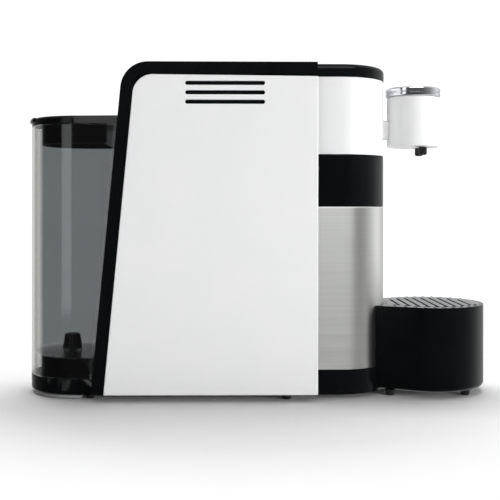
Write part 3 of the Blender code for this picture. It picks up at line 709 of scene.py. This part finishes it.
def column():
    head = prism("head_casing", column_plan(), "z", HEAD_LOW.z, HEAD_HIGH.z)
    cut(head, prism("room", column_plan(3, back=30), "z", HEAD_LOW.z + 3, HEAD_HIGH.z - 3))
    guide_low, guide_high = box("capsule_guide")
    slot_x = (guide_low.x + 1.9, guide_high.x - 1.9)
    cut(head, block("slot", slot_x, (-18, 18), (250, 270)))
    cut(head, block("drop", (guide_low.x - 2, guide_high.x + 1), (-19.5, 19.5), (190, 203)))
    neck_low, neck_high = box("spout_neck")
    cut(head, block("way", (95, 125), (neck_low.y - 0.5, neck_high.y + 0.5), (neck_low.z - 0.5, neck_high.z + 0.5)))
    soften(head, 0.6)
    dress(head, "housing", "white_gloss", LOOKS["white_gloss"], "head_shell")

    band = prism("band_casing", column_plan(), "z", BAND_LOW.z, BAND_HIGH.z)
    cut(band, prism("shaft", column_plan(5, back=COLUMN_BACK + 5), "z", 100, 220))
    soften(band, 0.6)
    dress(band, "housing", "black_gloss", LOOKS["black_gloss"], "head_band")

    sleeve = prism("sleeve_skin", column_plan(back=SLEEVE_LOW.x), "z", SLEEVE_LOW.z, SLEEVE_HIGH.z)
    cut(sleeve, prism("room", column_plan(1.5, back=SLEEVE_LOW.x + 1.5), "z", 0, 200))
    soften(sleeve, 0.4)
    dress(sleeve, "drawer", "brushed_silver", LOOKS["brushed_silver"], "bin_sleeve")


def lever():
    half = LEVER_HIGH.y
    front = arc((COLUMN_X, 0), half, -90, 90, 72)
    plan = [(HINGE.x, -half), (HINGE.x + 9, -half), *front, (HINGE.x + 9, half), (HINGE.x, half)]
    cover = prism("lever_skin", plan, "z", LEVER_LOW.z, LEVER_HIGH.z)
    join(cover, rod("hub", HUB_R, -half, half, (HINGE.x, 0, HINGE.z), axis="y"))
    cut(cover, block("boss_way", (HINGE.x - 6, HINGE.x + 6), (-4.4, 4.4), (250, 270.1)))
    cut(cover, rod("bore", PIN_BORE, -60, 60, (HINGE.x, 0, HINGE.z), axis="y"))
    roll_edge(cover, LEVER_HIGH.z, 4.2, lambda x, y: x > HINGE.x + 8)
    soften(cover, 0.5)
    dress(cover, "lever", "black_gloss", LOOKS["black_gloss"], "lever_cover")


def roll_edge(piece, height, radius, wanted, segments=8):
    """Rounds the edges round a level face over, where wanted(x, y) holds."""
    bm = bmesh.new()
    bm.from_mesh(piece.data)
    rim = [
        edge
        for edge in bm.edges
        if all(abs(vert.co.z / MM - height) < 0.05 and wanted(vert.co.x / MM, vert.co.y / MM) for vert in edge.verts)
        and any(abs(face.normal.z) < 0.5 for face in edge.link_faces)
    ]
    bmesh.ops.bevel(bm, geom=rim, offset=radius * MM, segments=segments, profile=0.5, affect="EDGES")
    bm.to_mesh(piece.data)
    bm.free()


def spout():
    low, high, r = SPOUT_LOW.z, SPOUT_HIGH.z, SPOUT_R
    lip = [(r - 1.2 + 1.2 * math.cos(a), low + 1.2 + 1.2 * math.sin(a)) for a in turn_angles(-90, 0)]
    profile = [(r - 2.2, low), *lip, (r, high - 0.4), (r - 0.4, high), (r - 2.2, high)]
    shell = turned("spout_casing", profile, (SPOUT_X, 0, 0), 128)
    dress(shell, "housing", "white_gloss", LOOKS["white_gloss"], "spout_shell")

    a, b = box("spout_neck")
    corners = [(a.y, a.z, 3), (b.y, a.z, 3), (b.y, b.z, 3), (a.y, b.z, 3)]
    neck = prism("spout_neck_skin", rounded(corners, 8), "x", a.x, b.x)
    cut(neck, rod("channel", 3, 90, 150, (0, 0, (a.z + b.z) / 2), axis="x"))
    soften(neck, 0.4)
    dress(neck, "housing", "white_gloss", LOOKS["white_gloss"], "spout_neck")

    base_low, base_high = box("spout_base")
    r = base_high.y
    bottom = turned(
        "spout_floor",
        [(0, base_low.z), (r - 0.5, base_low.z), (r, base_low.z + 0.5), (r, base_high.z), (0, base_high.z)],
        (SPOUT_X, 0, 0),
        96,
    )
    dress(bottom, "housing", "white_gloss", LOOKS["white_gloss"], "spout_base")

    for node in ("spout_nozzle_left", "spout_nozzle_right"):
        a, b = box(node)
        centre = ((a.x + b.x) / 2, (a.y + b.y) / 2, 0)
        r = (b.y - a.y) / 2
        mouth = [(r - 1.6 + 1.6 * math.cos(t), a.z + 1.6 + 1.6 * math.sin(t)) for t in turn_angles(-90, 0)]
        profile = [(2.2, a.z), *mouth, (r, b.z), (2.2, b.z)]
        tip = turned(f"{node}_tip", profile, centre, 48)
        dress(tip, "housing", "black_satin", LOOKS["black_satin"], node)

    low, high, r = RING_LOW.z, RING_HIGH.z, RING_HIGH.y
    middle = (low + high) / 2 - 0.4
    crown = [(r - 1.6 + 1.6 * math.cos(a), high - 1.6 + 1.6 * math.sin(a)) for a in turn_angles(0, 90)]
    profile = [
        (19.1, low),
        (r - 0.9, low),
        (r - 0.25, low + 0.4),
        (r, low + 1.1),
        (r, middle - 0.7),
        (r - 0.7, middle - 0.4),
        (r - 0.9, middle),
        (r - 0.7, middle + 0.4),
        (r, middle + 0.7),
        *crown,
        (20.4, high),
        (19.1, high - 0.9),
    ]
    ring = turned("spout_bezel", profile, (SPOUT_X, 0, 0), 128)
    dress(ring, "housing", "chrome", LOOKS["chrome"], "spout_ring")

    a, b = box("control_disc")
    r = b.y
    disc = turned(
        "control_plate", [(0, a.z), (r, a.z), (r, b.z - 0.3), (r - 0.3, b.z), (0, b.z)], (SPOUT_X, 0, 0), 96
    )
    for node in ("power_button", "espresso_button", "lungo_button"):
        c, d = box(node)
        place = ((c.x + d.x) / 2, (c.y + d.y) / 2, 0)
        r = (d.x - c.x) / 2
        cut(disc, rod("way", r + 0.3, 240, 260, place))
        dome = [(r * math.sin(t), d.z - 2.2 + 2.2 * math.cos(t)) for t in turn_angles(75, 0)]
        profile = [(0, c.z), (r, c.z), (r, d.z - 1.8), *dome[:-1], (0, d.z)]
        cap = turned(f"{node}_cap", profile, place, 48)
        dress(cap, node.replace("_button", ""), "button_grey", LOOKS["button_grey"], node)
    soften(disc, 0.15)
    dress(disc, "housing", "black_gloss", LOOKS["black_gloss"], "control_disc")


def drawer():
    housing = prism("tray_casing", tray_plan(TRAY_CHEEK_X), "z", TRAY_BOTTOM, TRAY_HIGH.z)
    roll_edge(housing, TRAY_BOTTOM, 4.0, lambda x, y: True)
    cut(housing, rod("notch", COLUMN_R + NOTCH_GAP, -10, 90, (COLUMN_X, 0, 0), steps=128))
    join(housing, prism("tongue", column_plan(-0.9, back=TRAY_LOW.x), "z", TRAY_LOW.z, SLEEVE_LOW.z - 0.3))
    inside = crescent(TRAY_R - TRAY_WALL, COLUMN_R + NOTCH_GAP + TRAY_WALL)
    cut(housing, prism("room", inside, "z", TRAY_BOTTOM + 3, 90))
    soften(housing, 0.8)
    dress(housing, "drawer", "black_gloss", LOOKS["black_gloss"], "tray_housing")

    low, high = box("cup_grate")
    radius = high.y
    plate = prism("grate_plate", crescent(radius, COLUMN_R + 3.3), "z", low.z, high.z - 1.0)
    nose = COLUMN_X + COLUMN_R + 5.2
    for i in range(-5, 5):
        x = TRAY_X + GRATE_PITCH * (i + 0.5)
        reach = math.sqrt((radius - 1.5) ** 2 - (x - TRAY_X) ** 2)
        if x > nose:
            join(plate, rod("rib", 2.1, -reach, reach, (x, 0, high.z - 2.1), axis="y", steps=24))
    for i in range(-4, 5):
        offset = GRATE_PITCH * i
        reach = math.sqrt((radius - GRATE_BORDER) ** 2 - offset**2)
        rear, front = TRAY_X + offset - GRATE_SLOT_HALF, TRAY_X + offset + GRATE_SLOT_HALF
        slot = rounded([(rear, -reach, 1.1), (front, -reach, 1.1), (front, reach, 1.1), (rear, reach, 1.1)], 6)
        cut(plate, prism("slot", slot, "z", 60, 90))
    soften(plate, 0.3)
    dress(plate, "grate", "grate_steel", LOOKS["grate_steel"], "cup_grate")


def front_plane(offset):
    """Everything before the tank's leaning front, moved back by offset."""
    shift = -TANK_GAP - offset
    outline = [(rear_x(0, shift), 0), (0, 0), (0, 240), (rear_x(240, shift), 240)]
    return prism("front_plane", outline, "y", -80, 80)


def tank():
    wall = TANK_WALL
    walls = cut(prism("tank_walls", tank_plan(), "z", TANK_LOW.z, TANK_HIGH.z), front_plane(0))
    water = cut(prism("water", tank_plan(wall), "z", TANK_FLOOR[1], 240), front_plane(wall))
    seat = cut(prism("seat", tank_plan(wall), "z", 5, TANK_FLOOR[0]), front_plane(wall))
    cut(walls, water, seat, rod("outlet", 4.2, 20, 50, (VALVE_X, 0, 0)))
    soften(walls, 0.4)
    dress(walls, "tank", "smoked_clear", LOOKS["smoked_clear"], "water_tank")

    a, b = box("tank_filter")
    height = b.z - a.z
    profile = [(0, b.z), (5.6, b.z), (6.4, b.z - 0.8), (8.2, a.z), (6.6, a.z), (5.9, b.z - 1.6), (0, b.z - 1.6)]
    cage = turned("filter_cage", profile, (VALVE_X, 0, 0), 64)
    for degrees in (0, 60, 120):
        port = block("port", (-20, 20), (-1.4, 1.4), (a.z + 0.15 * height, a.z + 0.7 * height))
        port.data.transform(Matrix.Rotation(math.radians(degrees), 4, "Z"))
        port.data.transform(Matrix.Translation((VALVE_X * MM, 0, 0)))
        cut(cage, port)
    soften(cage, 0.2)
    dress(cage, "tank", "black_satin", LOOKS["black_satin"], "tank_filter")


def lid():
    thin = LID_LOW.z
    base = TANK_HIGH.z + 0.4
    top = LID_HIGH.z
    plate = prism("lid_plate", tank_plan(0.2, LID_HIGH.x), "z", base, LID_HIGH.z)
    roll_edge(plate, LID_HIGH.z, 2.6, lambda x, y: x < LID_HIGH.x - 0.5 or abs(y) < TANK_R - 1)
    skirt_front = rear_x(thin, -TANK_GAP - 7.2)
    join(plate, prism("skirt", tank_plan(LID_SKIRT_INSET, skirt_front), "z", thin, base + 1))
    cut(plate, prism("under", tank_plan(LID_SKIRT_INSET + 2, skirt_front - 2), "z", 200, LID_HIGH.z - 2.5))
    lip = sweep(
        "lip",
        [(-3, top - 3.4), (-3, top - 0.2), (0.0, top), (0.9, top - 0.9), (1.5, top - 2.3), (1.4, top - 3.4)]
        + [(0.9, top - 3.6), (0.6, top - 3.2), (0.0, top - 2.6), (-1, top - 2.8)],
        150,
        210,
    )
    join(plate, lip)
    soften(plate, 0.35)
    dress(plate, "tank_lid", "black_gloss", LOOKS["black_gloss"], "tank_lid")


def sweep(name, profile, start, end, steps=32):
    """A profile of (outward, height) points carried round the tank's rear."""
    bm = bmesh.new()
    rings = []
    for i in range(steps + 1):
        angle = math.radians(start + (end - start) * i / steps)
        ring = []
        for out, z in profile:
            radius = TANK_R + out
            ring.append(bm.verts.new((TANK_X + radius * math.cos(angle), radius * math.sin(angle), z)))
        rings.append(ring)
    for low, high in zip(rings, rings[1:]):
        for j in range(len(profile)):
            k = (j + 1) % len(profile)
            bm.faces.new((low[j], low[k], high[k], high[j]))
    bm.faces.new(rings[0])
    bm.faces.new(rings[-1])
    return finish_mesh(name, bm)


def dock():
    front = DOCK_HIGH.x
    top = TANK_LOW.z - 0.3
    cup = prism("dock_cup", tank_plan(0, front), "z", DOCK_LOW.z, top)
    roll_edge(cup, DOCK_LOW.z, 1.8, lambda x, y: x < front - 0.5)
    join(cup, prism("pedestal", tank_plan(PEDESTAL_INSET, front - 3.2), "z", top - 1, DOCK_HIGH.z))
    cut(cup, prism("under", tank_plan(PEDESTAL_INSET + 2.6, front - 5.8), "z", 0, DOCK_HIGH.z - 5))
    socket = turned("socket", [(1.5, 29), (7.4, 29), (7.4, 40), (1.5, 40)], (VALVE_X, 0, 0), 64)
    cut(cup, socket, rod("over_pin", 2.5, 31, 40, (VALVE_X, 0, 0)))
    cut(cup, block("hose_way", (-147, -121), (-6, 6), (16.5, 27)))
    cut(cup, block("tongue_way", (-149, -121), (-30.4, 30.4), (0, 6.9)))
    soften(cup, 0.4)
    dress(cup, "housing", "black_gloss", LOOKS["black_gloss"], "tank_dock")

    # A foot plate under the dock. Its grey is a painted reflection, standing in for the light floor reflected in the
    # base's bottom chamfer.
    a, b = box("dock_plate")
    plate = prism("dock_foot_painted_reflection", tank_plan(TANK_R - b.y, b.x), "z", a.z, b.z)
    soften(plate, 0.9)
    dress(plate, "housing", "grey_plastic", LOOKS["grey_plastic"], "dock_plate")


def feet():
    for node in frame["nodes"]:
        if "foot" not in node:
            continue
        a, b = box(node)
        place = ((a.x + b.x) / 2, (a.y + b.y) / 2, 0)
        profile = [(0, 0), (3.0, 0), (3.6, 0.6), (4.2, b.z), (0, b.z)]
        pad = turned(f"{node}_pad", profile, place, 40)
        dress(pad, "drawer" if node.startswith("tray") else "housing", "rubber", LOOKS["rubber"], node)


def keep_cad():
    """The CAD nodes that stay get the finish of their slot."""
    slots = {entry["node"]: entry["material_slot"] for entry in frame["record"]["subparts"]}
    for node, piece in frame["nodes"].items():
        piece.data.materials.clear()
        piece.data.materials.append(LOOKS[slots[node]])


camera()
studio()
keep_cad()
body()
column()
lever()
spout()
drawer()
tank()
lid()
dock()
feet()
